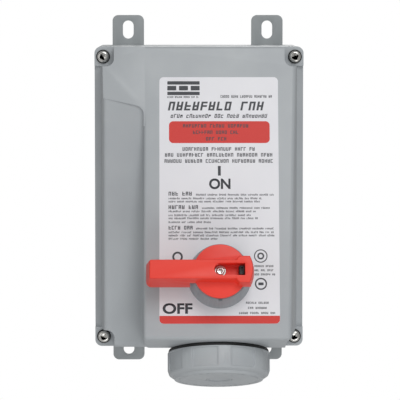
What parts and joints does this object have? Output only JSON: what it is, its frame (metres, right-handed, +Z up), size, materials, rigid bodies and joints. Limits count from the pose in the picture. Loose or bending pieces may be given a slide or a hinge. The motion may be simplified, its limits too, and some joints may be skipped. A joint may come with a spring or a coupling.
{
  "type": "interlocked rotary disconnect with receptacle",
  "caption": "Grey wall enclosure with a wedge-shaped cover, a rotary disconnect handle interlocked with a capped pin-and-sleeve receptacle, and slotted mounting feet.",
  "frame": {"origin": "centre of the back box's rear face, on the wall", "axes": "+X to the right seen from the front, +Z up, +Y into the wall; the front faces -Y"},
  "size_m": [0.222, 0.2621, 0.398],
  "materials": {
    "cover_grey": "moulded thermoplastic, satin",
    "box_grey": "moulded thermoplastic, satin",
    "collar_grey": "moulded, satin",
    "foot_grey": "moulded, satin",
    "stainless": "passivated stainless",
    "shaft_steel": "turned and stamped steel",
    "spring_steel": "drawn wire",
    "brass": "machined",
    "ground_bar_metal": "extruded",
    "black_rubber": "moulded",
    "label_white": "printed film",
    "handle_red": "moulded, semi-gloss",
    "black_plastic": "moulded",
    "ring_nut_grey": "moulded",
    "carrier_dark": "moulded phenolic",
    "wire_black": "extruded insulation",
    "wire_green": "extruded insulation"
  },
  "bodies": {
    "enclosure": {"back_box": "box_grey", "foot_top_left": "foot_grey", "foot_top_right": "foot_grey", "foot_bottom_left": "foot_grey", "foot_bottom_right": "foot_grey", "foot_screws": "stainless", "cover_inserts": "brass", "rim_seal": "black_rubber", "front_cover": "cover_grey", "cover_screws": "stainless", "screw_seals": "black_rubber", "rating_label": "label_white", "handle_collar": "collar_grey", "collar_seal": "black_rubber", "shaft_bush": "brass", "shaft_ring": "black_rubber", "bar_guides": "black_plastic", "switch_deck": "black_plastic", "switch_shell": "black_plastic", "line_terminals": "brass", "load_terminals": "brass", "terminal_screws": "stainless", "switch_screws": "stainless", "receptacle_seal": "black_rubber", "receptacle_shell": "black_plastic", "ring_nut": "ring_nut_grey", "contact_base": "carrier_dark", "contact_core": "carrier_dark", "phase_contact_1": "brass", "phase_contact_2": "brass", "ground_contact": "brass", "contact_screws": "stainless", "plunger_spring": "spring_steel", "ground_bar": "ground_bar_metal", "ground_screws": "stainless", "phase_wire_1": "wire_black", "phase_wire_2": "wire_black", "ground_wire": "wire_green"},
    "handle": {"handle": "handle_red", "handle_washer": "stainless", "handle_screw": "stainless", "drive_shaft": "shaft_steel", "interlock_cam": "shaft_steel", "switch_rotor": "black_plastic", "moving_contacts": "brass"},
    "lock_slide": {"lock_slide": "black_plastic"},
    "interlock_bar": {"interlock_bar": "shaft_steel"},
    "plug_plunger": {"plug_plunger": "black_plastic"},
    "cap_liner": {"cap_seal": "black_rubber"},
    "closure_cap": {"closure_cap": "cover_grey", "cap_button": "cover_grey"}
  },
  "joints": [
    {"name": "handle_turn", "type": "hinge", "parent": "enclosure", "child": "handle", "pos_m": [0.0203, -0.20664, -0.0771], "axis": [0, 0.9668, -0.2554], "range_deg": [0, 90]},
    {"name": "lock_push", "type": "slide", "parent": "handle", "child": "lock_slide", "axis": [0, 0.9668, -0.2554], "range_m": [0, 0.006]},
    {"name": "interlock_travel", "type": "slide", "parent": "enclosure", "child": "interlock_bar", "axis": [0, -0.2554, -0.9668], "range_m": [0, 0.008]},
    {"name": "plunger_push", "type": "slide", "parent": "enclosure", "child": "plug_plunger", "axis": [0, 0.309, 0.9511], "range_m": [0, 0.008], "stiffness_N_per_m": 400, "springref_m": -0.002, "deforming": ["plunger_spring"]},
    {"name": "cap_lift", "type": "slide", "parent": "enclosure", "child": "cap_liner", "axis": [0, -0.309, -0.9511], "range_m": [0, 0.024]},
    {"name": "cap_turn", "type": "hinge", "parent": "cap_liner", "child": "closure_cap", "pos_m": [0.0203, -0.16236, -0.16044], "axis": [0, -0.309, -0.9511], "range_deg": [0, 720]}
  ],
  "couplings": [
    {"joint": "interlock_travel", "follows": "handle_turn", "m_per_rad": 0.0050929},
    {"joint": "cap_lift", "follows": "cap_turn", "m_per_rad": 0.0019098}
  ]
}
